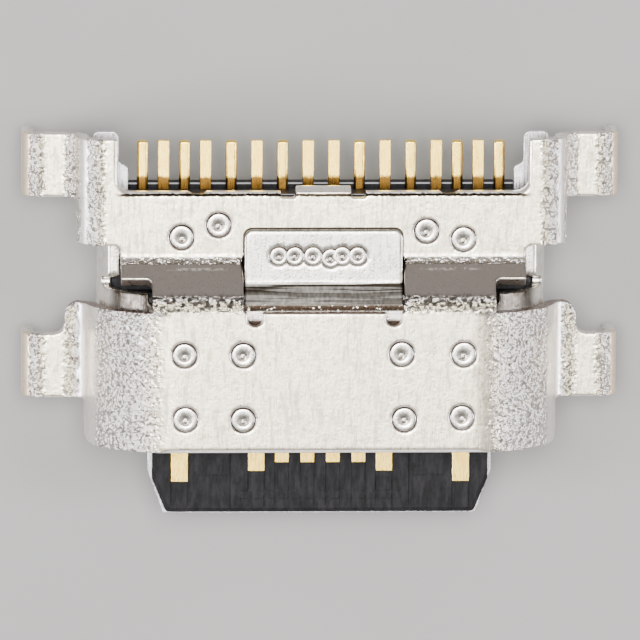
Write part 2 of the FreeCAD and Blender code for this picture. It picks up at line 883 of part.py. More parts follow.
def make_parts():
    parts = [make_cover(), make_shell(), make_mid_plate()]
    parts.append(make_shield_plate("upper_shield_plate", 1))
    parts.append(make_shield_plate("lower_shield_plate", -1))
    parts += [make_contact(*row, 1) for row in upper_row]
    parts += [make_contact(*row, -1) for row in lower_row]
    inserts = doc.addObject("Part::Compound", "inserts")
    inserts.Links = parts[2:]
    mouldings = {
        "tongue_moulding": make_tongue(),
        "upper_terminal_block": make_upper_block(),
        "lower_terminal_block": make_lower_block(),
    }
    for name, raw in mouldings.items():
        moulding = doc.addObject("Part::Cut", name)
        moulding.Base = raw
        moulding.Tool = inserts
        parts.append(moulding)
    return parts


def check(parts):
    broken = [o.Label for o in doc.Objects if {"Invalid", "Error"} & set(o.State)]
    if broken:
        raise RuntimeError(f"failed objects: {broken}")
    for part in parts:
        shape = part.Shape
        if shape.isNull() or not shape.isValid() or len(shape.Solids) != 1:
            raise RuntimeError(f"{part.Label}: not one valid solid ({len(shape.Solids)} solids)")


parts = make_parts()
doc.recompute()
check(parts)
os.makedirs("parts", exist_ok=True)
for part in parts:
    part.Shape.exportStep(f"parts/{part.Label}.step")
    print(part.Label, round(part.Shape.Volume, 4))
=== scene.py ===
import math
import random

import bmesh
import bpy
from mathutils import Matrix, Vector


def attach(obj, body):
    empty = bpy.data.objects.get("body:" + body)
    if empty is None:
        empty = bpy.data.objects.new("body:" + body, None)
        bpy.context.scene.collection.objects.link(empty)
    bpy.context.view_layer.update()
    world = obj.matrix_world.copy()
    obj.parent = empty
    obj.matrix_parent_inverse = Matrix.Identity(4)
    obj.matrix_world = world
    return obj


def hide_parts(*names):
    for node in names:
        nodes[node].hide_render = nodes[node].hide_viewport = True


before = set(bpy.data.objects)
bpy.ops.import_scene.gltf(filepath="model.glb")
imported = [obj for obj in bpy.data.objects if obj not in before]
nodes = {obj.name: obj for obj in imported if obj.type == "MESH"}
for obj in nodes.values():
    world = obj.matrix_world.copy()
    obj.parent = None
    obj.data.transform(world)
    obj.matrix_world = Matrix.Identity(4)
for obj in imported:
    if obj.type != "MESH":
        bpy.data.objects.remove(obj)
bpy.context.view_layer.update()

toMetres = Matrix.Scale(0.001, 4)  # every shape below is made in millimetres


# Small helpers for meshes

def meshObject(bm, name):
    mesh = bpy.data.meshes.new(name)
    bm.to_mesh(mesh)
    bm.free()
    piece = bpy.data.objects.new(name, mesh)
    bpy.context.scene.collection.objects.link(piece)
    return piece


def baked(piece):
    # the piece's mesh with its modifiers applied; the piece itself is thrown away
    bpy.context.view_layer.update()
    mesh = bpy.data.meshes.new_from_object(piece.evaluated_get(bpy.context.evaluated_depsgraph_get()))
    bpy.data.objects.remove(piece)
    return mesh


def finished(name, mesh, material, slot, *replaced):
    mesh.transform(toMetres)
    mesh.name = name
    mesh.materials.clear()
    mesh.materials.append(material)
    piece = bpy.data.objects.new(name, mesh)
    bpy.context.scene.collection.objects.link(piece)
    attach(piece, "root")
    if replaced:
        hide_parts(*replaced)
    return piece


def roundCorners(bm, corners, segments=8):
    # rounds the corners of a flat outline; a corner is (u, v, radius) with right angles beside it
    for u, v, radius in corners:
        near = [vert for vert in bm.verts if (vert.co - Vector((u, v, 0))).length < 1e-5]
        bmesh.ops.bevel(bm, geom=near, offset=radius, offset_type="OFFSET", segments=segments,
                        profile=0.5, affect="VERTICES", material=-1)


bendSteps = 14  # bevel steps for a bend of one radian at a radius of 1 mm
sideView = Matrix(((0, 0, 1), (1, 0, 0), (0, 1, 0)))  # stands a plan outline on the YZ plane


def prism(outlines, low, high, turn=None, place=(0, 0, 0)):
    # solid blocks from flat outlines, turned and put in place
    bm = bmesh.new()
    for outline in outlines:
        part = bmesh.new()
        part.faces.new([part.verts.new((c[0], c[1], 0)) for c in outline])
        roundCorners(part, [c for c in outline if len(c) > 2 and c[2] > 0])
        grown = bmesh.ops.extrude_face_region(part, geom=part.faces[:])
        lifted = [g for g in grown["geom"] if isinstance(g, bmesh.types.BMVert)]
        bmesh.ops.translate(part, verts=lifted, vec=(0, 0, high - low))
        bmesh.ops.translate(part, verts=part.verts[:], vec=(0, 0, low))
        if turn:
            bmesh.ops.rotate(part, verts=part.verts[:], matrix=turn)
        bmesh.ops.translate(part, verts=part.verts[:], vec=place)
        bmesh.ops.recalc_face_normals(part, faces=part.faces[:])
        mesh = bpy.data.meshes.new("outline")
        part.to_mesh(mesh)
        part.free()
        bm.from_mesh(mesh)
        bpy.data.meshes.remove(mesh)
    return bm


def bothSides(halfPath):
    return [(-u, v, r) for u, v, r in halfPath[::-1]] + list(halfPath)


def hoodTurn(fromAngle, toAngle, parts):
    # corners of a path that goes round the shell's round end, each with a small turn
    step = math.radians(toAngle - fromAngle) / parts
    radius = cover["hoodMid"]
    corners = []
    for i in range(parts):
        angle = math.radians(fromAngle) + (i + 0.5) * step
        reach = radius / math.cos(step / 2)
        corners.append((cover["endX"] + reach * math.sin(angle), reach * math.cos(angle), radius * 0.9995))
    return corners


def mirroredOutline(outline):
    return [(-c[0], *c[1:]) for c in outline[::-1]]


def foldedSheet(path, front, back, thickness, sideways=False):
    # flat panels along a path of (u, v, bend radius), folded round, then given their thickness
    bm = bmesh.new()
    corners = [bm.verts.new((u, front, v)) for u, v, r in path]
    lines = [bm.edges.new(pair) for pair in zip(corners, corners[1:])]
    grown = bmesh.ops.extrude_edge_only(bm, edges=lines)
    moved = [g for g in grown["geom"] if isinstance(g, bmesh.types.BMVert)]
    bmesh.ops.translate(bm, verts=moved, vec=(0, back - front, 0))
    for i in range(1, len(path) - 1):
        u, v, radius = path[i]
        if not radius:
            continue
        before = Vector((path[i - 1][0] - u, path[i - 1][1] - v))
        after = Vector((path[i + 1][0] - u, path[i + 1][1] - v))
        turn = math.pi - before.angle(after)
        folds = [edge for edge in bm.edges
                 if all(abs(w.co.x - u) < 1e-5 and abs(w.co.z - v) < 1e-5 for w in edge.verts)]
        steps = max(6, round(bendSteps * turn * math.sqrt(radius)))
        bmesh.ops.bevel(bm, geom=folds, offset=radius * math.tan(turn / 2), offset_type="OFFSET",
                        segments=steps, profile=0.5, affect="EDGES", material=-1)
    bmesh.ops.remove_doubles(bm, verts=bm.verts[:], dist=0.003)  # no slivers between two folds
    if sideways:  # the path was drawn in side view, so x and y change places
        bmesh.ops.rotate(bm, verts=bm.verts[:], matrix=Matrix(((0, 1, 0), (1, 0, 0), (0, 0, 1))))
    bmesh.ops.recalc_face_normals(bm, faces=bm.faces[:])
    sheet = meshObject(bm, "sheet")
    wall = sheet.modifiers.new("wall", "SOLIDIFY")
    wall.thickness = thickness
    wall.offset = 0
    wall.use_even_offset = True
    return sheet


def cutAway(piece, *tools):
    for bm in tools:
        tool = meshObject(bm, "tool")
        cut = piece.modifiers.new("cut", "BOOLEAN")
        cut.operation = "DIFFERENCE"
        cut.solver = "EXACT"
        cut.use_self = True
        cut.object = tool
        mesh = baked(piece)
        bpy.data.objects.remove(tool)
        piece = bpy.data.objects.new("cutPiece", mesh)
        bpy.context.scene.collection.objects.link(piece)
    return piece


def melted(pieces, voxel, rounds, share):
    # one skin round overlapping solids, with its edges softened
    bm = bmesh.new()
    for piece in pieces:
        mesh = baked(piece)
        bm.from_mesh(mesh)
        bpy.data.meshes.remove(mesh)
    whole = meshObject(bm, "whole")
    skin = whole.modifiers.new("skin", "REMESH")
    skin.mode = "VOXEL"
    skin.voxel_size = voxel
    soft = whole.modifiers.new("soft", "SMOOTH")
    soft.factor = 0.5
    soft.iterations = rounds
    thin = whole.modifiers.new("thin", "DECIMATE")
    thin.ratio = share
    mesh = baked(whole)
    mesh.shade_smooth()
    return mesh


# Finishes

class Finish:
    # one material, with short calls for its nodes
    def __init__(self, name):
        self.material = bpy.data.materials.new(name)
        self.material.use_nodes = True
        self.tree = self.material.node_tree
        self.shader = self.tree.nodes["Principled BSDF"]
        self.place = self.add("ShaderNodeTexCoord").outputs["Object"]

    def add(self, kind, **settings):
        node = self.tree.nodes.new(kind)
        for key, value in settings.items():
            setattr(node, key, value)
        return node

    def link(self, source, target):
        self.tree.links.new(source, target)

    def axes(self, vector):
        node = self.add("ShaderNodeSeparateXYZ")
        self.link(vector, node.inputs["Vector"])
        return node.outputs["X"], node.outputs["Y"], node.outputs["Z"]

    def facing(self):
        # how far a face looks along x, y and z
        return self.axes(self.add("ShaderNodeNewGeometry").outputs["Normal"])

    def spot(self):
        # distance from the middle line, depth and height on the part
        x, y, z = self.axes(self.place)
        return self.maths("ABSOLUTE", x, 0.0), y, z

    def noise(self, scale, detail=2.0, stretch=(1, 1, 1), roughness=0.5):
        turned = self.add("ShaderNodeMapping")
        turned.inputs["Scale"].default_value = stretch
        self.link(self.place, turned.inputs["Vector"])
        noise = self.add("ShaderNodeTexNoise")
        noise.inputs["Scale"].default_value = scale
        noise.inputs["Detail"].default_value = detail
        noise.inputs["Roughness"].default_value = roughness
        self.link(turned.outputs["Vector"], noise.inputs["Vector"])
        return noise.outputs["Fac"]

    def ramp(self, source, fromLow, fromHigh, toLow, toHigh):
        node = self.add("ShaderNodeMapRange", interpolation_type="SMOOTHSTEP")
        limits = {"From Min": fromLow, "From Max": fromHigh, "To Min": toLow, "To Max": toHigh}
        for key, value in limits.items():
            node.inputs[key].default_value = value
        self.link(source, node.inputs["Value"])
        return node.outputs["Result"]

    def maths(self, operation, first, second):
        node = self.add("ShaderNodeMath", operation=operation)
        for socket, value in zip(node.inputs, (first, second)):
            if isinstance(value, (int, float)):
                socket.default_value = value
            else:
                self.link(value, socket)
        return node.outputs["Value"]

    def band(self, source, rise, top, end, fall):
        # 1 between top and end, and 0 before rise and after fall
        return self.maths("MULTIPLY", self.ramp(source, rise, top, 0, 1), self.ramp(source, end, fall, 1, 0))

    def total(self, *sources):
        whole = sources[0]
        for source in sources[1:]:
            whole = self.maths("ADD", whole, source)
        return whole

    def product(self, *sources):
        whole = sources[0]
        for source in sources[1:]:
            whole = self.maths("MULTIPLY", whole, source)
        return whole

    def blend(self, amount, first, second):
        node = self.add("ShaderNodeMix", data_type="RGBA")
        self.link(amount, node.inputs["Factor"])
        for socket, value in ((node.inputs[6], first), (node.inputs[7], second)):
            if isinstance(value, tuple):
                socket.default_value = (*value, 1)
            else:
                self.link(value, socket)
        return node.outputs[2]

    def bump(self, height, distance, strength=1.0, under=None):
        node = self.add("ShaderNodeBump")
        node.inputs["Distance"].default_value = distance
        if isinstance(strength, float):
            node.inputs["Strength"].default_value = strength
        else:
            self.link(strength, node.inputs["Strength"])
        self.link(height, node.inputs["Height"])
        if under:
            self.link(under, node.inputs["Normal"])
        return node.outputs["Normal"]

    def asMetal(self):
        self.shader.inputs["Metallic"].default_value = 1.0
        return self.material


coverLook = {
    "flatColour": (0.97, 0.90, 0.70),
    "mottleColour": (0.50, 0.45, 0.36),
    "bendColour": (0.95, 0.90, 0.86),
    # painted shade in the orange peel's hollows
    "peelShadeColour": (0.36, 0.33, 0.30),
    # painted shade on the slope
    "slopeShadeColour": (0.36, 0.325, 0.30),
    "tanColour": (1.0, 0.78, 0.54),
    # painted shade on the sheared edge at the hood's back
    "shearShadeColour": (0.28, 0.20, 0.17),
    # painted shade for dark lines and corners, and for the bend at the hood's back
    "paintedShadeColour": (0.022, 0.016, 0.011),
    "flatRoughness": (0.26, 0.44),
    "peelRoughness": 0.15,
    "grainHeight": 0.000004,
    "peelHeight": 0.00011,
    # each place below is where a mark starts and ends, with soft ends, in metres
    # orange peel where the sheet was stretched
    "hoodPeel": (0.0028, 0.0039, 0.00420, 0.00456),
    "wallPeel": (0.00412, 0.00440, 0.00448, 0.00466),
    "rootPeel": (0.00462, 0.00482, 0.00486, 0.00512),
    "legPeel": (0.00524, 0.00556, 0.00562, 0.00576),
    "brimPeel": (-0.00034, -0.00008, 0.00004, 0.00012),
    "footPeel": (0.00060, 0.00066, 0.00068, 0.00080),
    # where the hood ends, where the rear plate starts and how wide both are flat
    "hoodEnd": (-0.00022, -0.00018),
    "rearStart": (0.0006, 0.0007),
    "middleEnd": (0.00392, 0.00396),
    "slope": (0.00000, 0.00006, 0.00064, 0.00072),
    "paleLine": (0.00054, 0.00056, 0.00058, 0.00060),
    "paleLineAcross": (0.0018, 0.0020, 0.0029, 0.0031),
    "legSide": (0.00560, 0.00574),
    "legBend": (-0.00034, -0.00012),
    "shearedShade": (-0.00060, -0.00056, -0.00024, -0.00020),
    "rolled": (0.00196, 0.00198, 0.00202, 0.00204),
    "rolledEnd": (0.0039, 0.0041),
    # painted shadow round the shell's tab: its corners' centre, how far out, and where it starts and ends
    "tabCorner": (0.001386, 0.001161),
    "tabShadowReach": (0.00012, 0.00014, 0.000165, 0.00019),
    "tabFront": (0.0008, 0.00084),
    "tabSide": (0.0016, 0.0017),
}


def makeCoverSteel():
    look = coverLook
    f = Finish("coverSteel")
    behind, tilt = f.facing()[1:]
    across, depth, height = f.spot()
    flat = f.ramp(tilt, 0.93, 0.99, 0, 1)
    hoodPart = f.ramp(depth, *look["hoodEnd"], 1, 0)
    rearPart = f.ramp(depth, *look["rearStart"], 0, 1)
    middle = f.ramp(across, *look["middleEnd"], 1, 0)
    peelPlace = f.total(
        f.product(f.band(across, *look["hoodPeel"]), hoodPart),
        f.product(f.band(across, *look["wallPeel"]), rearPart),
        f.band(across, *look["rootPeel"]),
        f.band(across, *look["legPeel"]),
        f.product(f.total(f.band(depth, *look["brimPeel"]), f.band(depth, *look["footPeel"])), middle),
    )
    slope = f.product(f.band(depth, *look["slope"]), middle, f.ramp(tilt, 0.98, 0.9, 0, 1))
    grain = f.noise(1.0, 5.0, (13000, 1700, 13000), 0.66)
    mottle = f.noise(4600, 6.0, (1, 1, 1), 0.70)
    speck = f.noise(15000, 4.0, (1, 0.8, 1), 0.66)
    peel = f.noise(12000, 2.0, (0.8, 1, 1), 0.55)
    # the peel fades out in patches
    peelPlace = f.ramp(f.product(peelPlace, f.ramp(mottle, 0.3, 0.7, 1.5, 0.5)), 0.10, 0.85, 0, 1)
    steel = f.blend(f.ramp(mottle, 0.48, 0.62, 0, 0.55), look["flatColour"], look["mottleColour"])
    steel = f.blend(f.ramp(grain, 0.50, 0.64, 0, 0.75), steel, look["mottleColour"])
    steel = f.blend(f.ramp(speck, 0.54, 0.66, 0, 0.6), steel, look["mottleColour"])
    # painted shade: the slope is darker than the bends
    bend = f.blend(slope, look["bendColour"], look["slopeShadeColour"])
    # a paler speckled line along the middle of each half of the slope, where its painted shade is lifted
    wander = f.maths("ADD", depth, f.maths("MULTIPLY", grain, 0.00005))
    paleLine = f.product(f.band(wander, *look["paleLine"]), f.band(across, *look["paleLineAcross"]),
                       f.ramp(speck, 0.44, 0.56, 0, 0.6))
    bend = f.blend(paleLine, bend, look["bendColour"])
    colour = f.blend(flat, bend, steel)
    # painted shade in the peel's hollows, as dark strokes
    peelShade = f.product(peelPlace, f.ramp(peel, 0.47, 0.38, 0, 0.8))
    colour = f.blend(peelShade, colour, look["peelShadeColour"])
    # painted shade on the bend at the hood's back, broken by the peel
    brimShade = f.product(f.band(depth, *look["brimPeel"]), middle, f.ramp(peel, 0.54, 0.44, 0, 0.9))
    colour = f.blend(brimShade, colour, look["paintedShadeColour"])
    # the legs' bends are tanned
    legSide = f.product(f.ramp(across, *look["legSide"], 0, 0.8), f.ramp(height, *look["legBend"], 0, 1))
    colour = f.blend(legSide, colour, look["tanColour"])
    # rolling lines on every face that stands up
    upright = f.product(f.ramp(tilt, 0.5, 0.2, 0, 1), f.ramp(grain, 0.44, 0.62, 0, 0.55))
    colour = f.blend(upright, colour, look["mottleColour"])
    # painted shade on the sheared edge at the hood's back, dark brown
    shearedShade = f.product(f.ramp(behind, 0.45, 0.85, 0, 1), f.band(depth, *look["shearedShade"]))
    colour = f.blend(shearedShade, colour, look["shearShadeColour"])
    # painted shade: a dark ragged line along the bay's rolled edge
    wavy = f.maths("ADD", depth, f.maths("MULTIPLY", speck, 0.00006))
    rolled = f.product(f.band(wavy, *look["rolled"]), f.ramp(across, *look["rolledEnd"], 1, 0))
    colour = f.blend(rolled, colour, look["paintedShadeColour"])
    # painted shadow in the corner round the shell's tab, whose corners are round
    cornerX, cornerY = look["tabCorner"]
    fromSide = f.maths("MAXIMUM", f.maths("SUBTRACT", across, cornerX), 0.0)
    fromBack = f.maths("MAXIMUM", f.maths("SUBTRACT", depth, cornerY), 0.0)
    away = f.maths("POWER", f.total(f.product(fromSide, fromSide), f.product(fromBack, fromBack)), 0.5)
    tabShadow = f.product(f.band(away, *look["tabShadowReach"]), f.ramp(depth, *look["tabFront"], 0, 1),
                      f.ramp(across, *look["tabSide"], 1, 0))
    colour = f.blend(tabShadow, colour, look["paintedShadeColour"])
    f.link(colour, f.shader.inputs["Base Color"])
    low, high = look["flatRoughness"]
    rough = f.ramp(f.maths("ADD", f.maths("MULTIPLY", grain, 0.5), f.maths("MULTIPLY", speck, 0.5)),
                   0.38, 0.62, low, high)
    shiny = f.add("ShaderNodeMix", data_type="FLOAT")
    f.link(peelPlace, shiny.inputs["Factor"])
    f.link(rough, shiny.inputs[2])
    shiny.inputs[3].default_value = look["peelRoughness"]
    f.link(shiny.outputs[0], f.shader.inputs["Roughness"])
    fine = f.bump(grain, look["grainHeight"], 1.0)
    fine = f.bump(speck, look["grainHeight"], 1.0, fine)
    f.link(f.bump(peel, look["peelHeight"], peelPlace, fine), f.shader.inputs["Normal"])
    return f.asMetal()


shellLook = {
    "light": (0.86, 0.83, 0.76),
    "dark": (0.70, 0.67, 0.62),
    # painted shade colours: in the notches, on the drop, on the sheared edges, on the brim and in the lobes
    "shade": (0.055, 0.044, 0.033),
    "hollowShade": (0.50, 0.45, 0.47),
    "shearedShade": (0.020, 0.014, 0.010),
    "roughness": (0.22, 0.36),
    # where each mark starts and ends, in metres: the cover's notches, the tab's drop, the tab and its lobes
    "notchDepth": (-0.00032, -0.00020, 0.00008, 0.00013),
    "notchAcross": (0.0020, 0.0030, 0.0040, 0.00425),
    "notchHeight": (0.0006, 0.0009),
    "dropDepth": (-0.00016, -0.00010, 0.00028, 0.00031),
    "dropDarkens": (0.00006, 0.00014),
    "dropAcross": (0.00155, 0.00157),
    "tabHeight": (0.0008, 0.0010),
    "tabDepth": (0.0004, 0.0005),
    "tabAcross": (0.00160, 0.00165),
    "brimDepth": (-0.00026, -0.00023, -0.00014, -0.00008),
    "lobeAcross": (0.0018, 0.0016),
    "lobeHeight": (0.0011, 0.0012),
    "lobeDepth": (-0.00062, -0.00058),
    "hollowDepth": (-0.00024, -0.00030),
    "shearedDepth": (-0.00036, -0.00045),
}


def makeShellSteel():
    look = shellLook
    f = Finish("shellSteel")
    tilt = f.facing()[2]
    across, depth, height = f.spot()
    grain = f.noise(1.0, 4.0, (16000, 2400, 16000), 0.6)
    mottle = f.noise(6000, 4.0)
    steel = f.blend(f.ramp(mottle, 0.36, 0.68, 0, 1), look["light"], look["dark"])
    # painted shade in the cover's two notches, and on the tab's drop along drawn lines across it
    notches = f.product(f.band(depth, *look["notchDepth"]), f.band(across, *look["notchAcross"]),
                        f.ramp(height, *look["notchHeight"], 0, 1), f.ramp(mottle, 0.34, 0.56, 1, 0.9))
    steel = f.blend(notches, steel, look["shade"])
    lines = f.noise(1.0, 2.0, (500, 21000, 500), 0.5)
    high = f.ramp(height, *look["tabHeight"], 0, 1)
    middle = f.product(f.ramp(across, *look["dropAcross"], 1, 0), high)
    dropPlace = f.product(f.band(depth, *look["dropDepth"]), middle)
    # painted shade on the tab's drop, darker along the drawn lines and towards its back
    drop = f.product(dropPlace, f.ramp(lines, 0.44, 0.54, 0.35, 1), f.ramp(depth, *look["dropDarkens"], 0.75, 1))
    steel = f.blend(drop, steel, look["shade"])
    # painted shade on the tab's sheared edges
    edges = f.product(f.ramp(tilt, 0.75, 0.45, 0, 1), f.ramp(depth, *look["tabDepth"], 0, 1),
                      f.ramp(across, *look["tabAcross"], 1, 0), high)
    steel = f.blend(edges, steel, look["shearedShade"])
    peel = f.noise(14000, 2.0)
    # painted shade on the tab's front bend, broken by peel specks
    brimShade = f.product(f.band(depth, *look["brimDepth"]), middle, f.ramp(peel, 0.74, 0.62, 0, 1))
    steel = f.blend(brimShade, steel, look["shearedShade"])
    # painted shade on the shell seen at the bottom of the two lobes beside the tab, darkest towards their front
    # ends
    lobePlace = f.product(f.ramp(across, *look["lobeAcross"], 0, 1), f.ramp(height, *look["lobeHeight"], 0, 1),
                          f.ramp(depth, *look["lobeDepth"], 0, 1), f.ramp(tilt, 0.2, 0.5, 0, 1))
    hollowShade = f.product(lobePlace, f.ramp(depth, *look["hollowDepth"], 0, 0.3))
    steel = f.blend(hollowShade, steel, look["hollowShade"])
    lobeEndShade = f.product(lobePlace, f.ramp(depth, *look["shearedDepth"], 0, 1))
    steel = f.blend(lobeEndShade, steel, look["shearedShade"])
    f.link(steel, f.shader.inputs["Base Color"])
    dull = f.product(dropPlace, f.ramp(lines, 0, 1, 0.10, 0.12))
    f.link(f.total(f.ramp(grain, 0.35, 0.65, *look["roughness"]), dull), f.shader.inputs["Roughness"])
    pits = f.noise(26000, 3.0)
    plain = f.ramp(dropPlace, 0, 1, 1, 0)
    f.link(f.bump(pits, 0.000003, plain, f.bump(grain, 0.000003, plain)), f.shader.inputs["Normal"])
    return f.asMetal()


plateLook = {"light": (0.72, 0.71, 0.73), "dark": (0.58, 0.57, 0.60), "roughness": (0.20, 0.34)}


def makePlateSteel():
    look = plateLook
    f = Finish("plateSteel")
    rolled = f.noise(1.0, 3.0, (30000, 2500, 30000), 0.55)
    mottle = f.noise(11000, 3.0)
    steel = f.blend(f.ramp(mottle, 0.36, 0.66, 0, 1), look["light"], look["dark"])
    f.link(steel, f.shader.inputs["Base Color"])
    f.link(f.ramp(rolled, 0.35, 0.65, *look["roughness"]), f.shader.inputs["Roughness"])
    f.link(f.bump(rolled, 0.0000015), f.shader.inputs["Normal"])
    return f.asMetal()


# the dark weld colour is scorching, and painted shade in each spot's groove and on its crater's rear side
weldLook = {"clean": (0.96, 0.92, 0.84), "burntAndShaded": (0.07, 0.045, 0.03), "roughness": (0.22, 0.32)}


def makeWeldMetal():
    look = weldLook
    f = Finish("weldMetal")
    ripple = f.noise(20000, 3.0)
    # the attribute holds scorching, and painted shade in the groove and on the crater's rear side
    burntAndShaded = f.add("ShaderNodeAttribute", attribute_name="burntAndShaded").outputs["Fac"]
    ragged = f.total(burntAndShaded, f.maths("MULTIPLY", f.maths("SUBTRACT", ripple, 0.5), 0.15))
    scorchAndShade = f.ramp(ragged, 0.1, 0.9, 0, 1)
    f.link(f.blend(scorchAndShade, look["clean"], look["burntAndShaded"]), f.shader.inputs["Base Color"])
    f.link(f.ramp(ripple, 0.3, 0.7, *look["roughness"]), f.shader.inputs["Roughness"])
    f.link(f.bump(ripple, 0.0000015), f.shader.inputs["Normal"])
    return f.asMetal()


giltLook = {
    "pale": (1.0, 0.72, 0.17),
    "deep": (0.98, 0.59, 0.10),
    # flux with painted shadow, where the tails leave the moulding
    "fluxAndShadow": (0.075, 0.030, 0.005),
    "roughness": (0.24, 0.38),
    # where the browning ends, and where the rear half starts, in metres
    "brownEnd": (0.00230, 0.00221),
    "rearStart": (0.0012, 0.0014),
}


def makeGiltContact():
    look = giltLook
    f = Finish("giltContact")
    depth = f.spot()[1]
    rolled = f.noise(1.0, 3.0, (52000, 5000, 52000), 0.6)
    cloud = f.noise(7000, 4.0)
    gilt = f.blend(f.ramp(cloud, 0.40, 0.75, 0, 0.7), look["pale"], look["deep"])
    # flux and painted shadow brown the tails where they leave the moulding
    edge = f.maths("ADD", depth, f.maths("MULTIPLY", f.noise(9000, 3.0), 0.00012))
    browned = f.ramp(edge, *look["brownEnd"], 0, 0.95)
    rear = f.ramp(depth, *look["rearStart"], 0, 1)
    f.link(f.blend(f.maths("MULTIPLY", browned, rear), gilt, look["fluxAndShadow"]), f.shader.inputs["Base Color"])
    f.link(f.ramp(rolled, 0.35, 0.65, *look["roughness"]), f.shader.inputs["Roughness"])
    f.link(f.bump(rolled, 0.0000015), f.shader.inputs["Normal"])
    return f.asMetal()


mouldingLook = {
    "base": (0.006, 0.006, 0.007),
    "pale": (0.018, 0.017, 0.020),
    # painted highlight on the ledge's rear top edge
    "ledgeHighlight": (0.50, 0.50, 0.55),
    "roughness": (0.42, 0.62),
    # a painted highlight on the ledge's rear top edge: how far it looks back and up, and where it starts in metres
    "highlightBack": (0.3, 0.5, 0.93, 0.995),
    "highlightUp": (0.05, 0.2),
    "highlightStart": (0.0019, 0.00195),
}


def makeBlackMoulding():
    look = mouldingLook
    f = Finish("blackMoulding")
    flow = f.noise(1.0, 4.0, (9000, 2200, 9000), 0.6)
    fibre = f.noise(1.0, 3.0, (26000, 9000, 26000), 0.65)
    skin = f.noise(34000, 3.0)
    behind, tilt = f.facing()[1:]
    # painted highlight along the ledge's rear top edge
    ledgeHighlight = f.product(f.band(behind, *look["highlightBack"]), f.ramp(tilt, *look["highlightUp"], 0, 1),
                     f.ramp(f.spot()[1], *look["highlightStart"], 0, 1))
    black = f.blend(f.ramp(flow, 0.36, 0.72, 0, 1), look["base"], look["pale"])
    f.link(f.blend(ledgeHighlight, black, look["ledgeHighlight"]), f.shader.inputs["Base Color"])
    f.link(f.ramp(fibre, 0.32, 0.68, *look["roughness"]), f.shader.inputs["Roughness"])
    f.link(f.bump(skin, 0.0000025, 1.0, f.bump(fibre, 0.000003)), f.shader.inputs["Normal"])
    f.shader.inputs["IOR"].default_value = 1.45
    f.shader.inputs["Specular IOR Level"].default_value = 0.16
    return f.material


coverSteel = makeCoverSteel()
shellSteel = makeShellSteel()
plateSteel = makePlateSteel()
weldMetal = makeWeldMetal()
giltContact = makeGiltContact()
blackMoulding = makeBlackMoulding()
print("finishes made")


# Stamped cover

cover = {
    "sheet": 0.25,  # thickness; a name with Mid is the middle of the sheet
    "hoodMid": 1.605,
    "endX": 2.89,
    "footX": 4.5154,
    "earMid": 0.025,
    "legMid": 5.695,
    "legTip": -1.00,
    "plateMid": 0.925,
    "wallMid": 4.655,
    "slopeAngle": 43.4,
    # from the mouth to the rear edge
    "mouth": -2.99,
    "lipBack": -2.15,
    "hoodBack": -0.25,
    "wallFront": 0.83,
    "earFront": 1.80,
    "bayEdge": 2.03,
    "rearEnd": 3.06,
    # spot welds
    "hoodTop": 1.73,
    "plateTop": 1.05,
    "weldRadius": 0.245,
    "weldDepth": 0.07,
    # the skin: cell size, rounds of smoothing and share of the faces kept
    "voxel": 0.026,
    "rounds": 3,
    "share": 0.40,
}
hoodWelds = [(-2.71, -1.07), (-1.57, -1.07), (1.50, -1.05), (2.71, -1.06),
             (-2.69, -2.33), (-1.57, -2.34), (1.56, -2.335), (2.68, -2.30)]
plateWelds = [(-2.75, 1.14), (-2.03, 1.38), (2.01, 1.26), (2.73, 1.10)]


def pitTool(spots, radius, top, depth):
    bm = bmesh.new()
    for x, y in spots:
        bmesh.ops.create_cone(bm, cap_ends=True, segments=48, radius1=radius, radius2=radius,
                              depth=depth * 2, matrix=Matrix.Translation((x, y, top)))
    return bm


